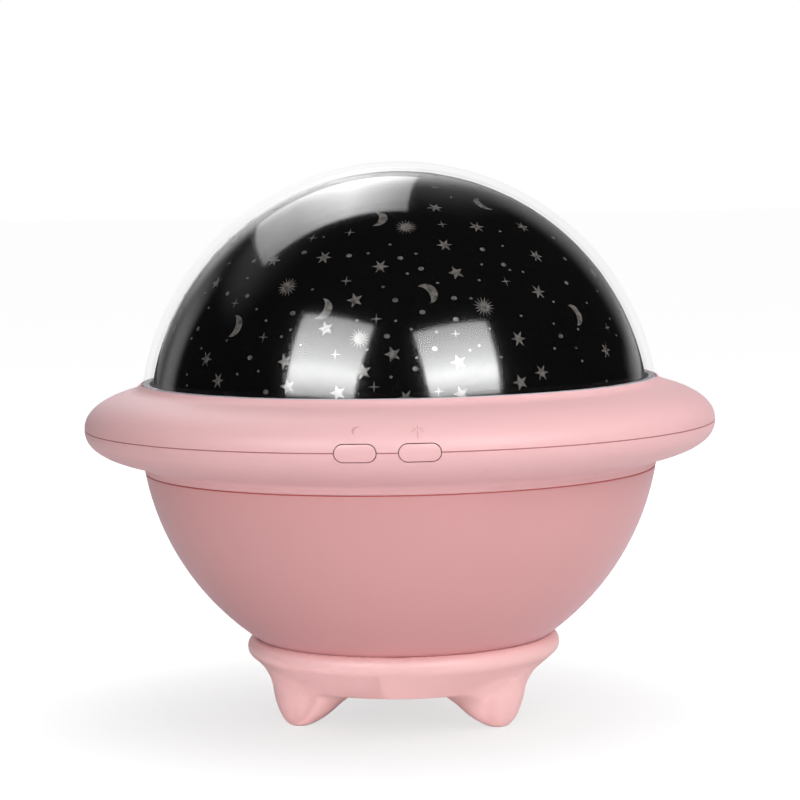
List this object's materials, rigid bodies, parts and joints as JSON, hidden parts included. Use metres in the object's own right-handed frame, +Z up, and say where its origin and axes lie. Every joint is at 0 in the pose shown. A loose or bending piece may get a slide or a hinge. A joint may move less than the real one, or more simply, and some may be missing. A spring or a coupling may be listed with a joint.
{
  "type": "star night light projector",
  "caption": "Saucer-shaped star night light: clear dome over a motor-turned star film, pink body with two push buttons, charging port and small feet.",
  "frame": {"origin": "on the floor, under the body's vertical axis", "axes": "+Z up through the dome, -Y to the front, where the two buttons are; the charging port faces +Y"},
  "size_m": [0.16, 0.1597, 0.1418],
  "materials": {
    "clear_dome": "clear polycarbonate, glossy",
    "star_film": "thin black film with clear printed-out stars, crescents, suns and dots, glossy",
    "ring_pink": "pale pink ABS, satin",
    "bowl_pink": "dusty pink ABS, satin",
    "base_pink": "pink ABS, satin",
    "button_pink": "pink ABS, satin",
    "inner_plastic": "white ABS, as moulded",
    "black_plastic": "black nylon, as moulded",
    "gear_plastic": "natural acetal",
    "washer_nylon": "natural nylon",
    "screw_steel": "zinc plated",
    "motor_metal": "pressed steel can",
    "gearbox_metal": "brass gearbox housing",
    "circuit_board": "green solder mask",
    "led_dome": "silicone lens over phosphor",
    "cell_wrap": "blue shrink sleeve",
    "nickel": "nickel strip",
    "port_metal": "nickel plated shell",
    "wire_red": "PVC sleeve",
    "wire_black": "PVC sleeve",
    "wire_white": "PVC sleeve",
    "plug_white": "nylon plug",
    "chip_black": "epoxy",
    "capacitor_sleeve": "dark sleeve"
  },
  "bodies": {
    "housing": {"upper_ring_shell": "ring_pink", "lower_ring_shell": "ring_pink", "bowl": "bowl_pink", "foot_base": "base_pink", "deck_plate": "inner_plastic", "lamp_post": "inner_plastic", "lamp_head": "inner_plastic", "battery_cradle": "inner_plastic", "battery_strap": "black_plastic", "thrust_washer": "washer_nylon", "motor_gearbox": "gearbox_metal", "motor_can": "motor_metal", "motor_bracket": "motor_metal", "motor_screws": "screw_steel", "lamp_post_screws": "screw_steel", "housing_screws": "screw_steel", "base_screws": "screw_steel", "main_board_screws": "screw_steel", "button_board_screws": "screw_steel", "usb_board_screws": "screw_steel", "cradle_screws": "screw_steel", "strap_screws": "screw_steel", "led_board": "circuit_board", "main_board": "circuit_board", "button_board": "circuit_board", "usb_board": "circuit_board", "led_emitter": "led_dome", "controller_chip": "chip_black", "capacitors": "capacitor_sleeve", "wire_plugs": "plug_white", "left_switch": "black_plastic", "right_switch": "black_plastic", "usb_socket": "port_metal", "battery_cell": "cell_wrap", "battery_contacts": "nickel", "led_wire": "wire_red", "motor_wire": "wire_white", "battery_wire": "wire_red", "button_wire": "wire_white", "usb_wire": "wire_black"},
    "dome": {"outer_dome": "clear_dome"},
    "turntable": {"turntable": "inner_plastic", "film_dome": "star_film"},
    "pinion": {"pinion": "gear_plastic", "motor_shaft": "screw_steel"},
    "left_button": {"left_button": "button_pink", "left_plunger": "black_plastic"},
    "right_button": {"right_button": "button_pink", "right_plunger": "black_plastic"}
  },
  "joints": [
    {"name": "dome_lift", "type": "slide", "parent": "housing", "child": "dome", "axis": [0, 0, 1], "range_m": [0, 0.065]},
    {"name": "turntable_spin", "type": "hinge", "parent": "housing", "child": "turntable", "pos_m": [0, 0, 0.0758], "axis": [0, 0, 1], "continuous": true},
    {"name": "pinion_spin", "type": "hinge", "parent": "housing", "child": "pinion", "pos_m": [-0.032, 0, 0.0758], "axis": [0, 0, 1], "continuous": true},
    {"name": "left_button_press", "type": "slide", "parent": "housing", "child": "left_button", "axis": [0, 1, 0], "range_m": [0, 0.0005], "stiffness_N_per_m": 800, "springref_m": -0.0005},
    {"name": "right_button_press", "type": "slide", "parent": "housing", "child": "right_button", "axis": [0, 1, 0], "range_m": [0, 0.0005], "stiffness_N_per_m": 800, "springref_m": -0.0005}
  ],
  "couplings": [
    {"joint": "pinion_spin", "follows": "turntable_spin", "ratio": -4}
  ]
}
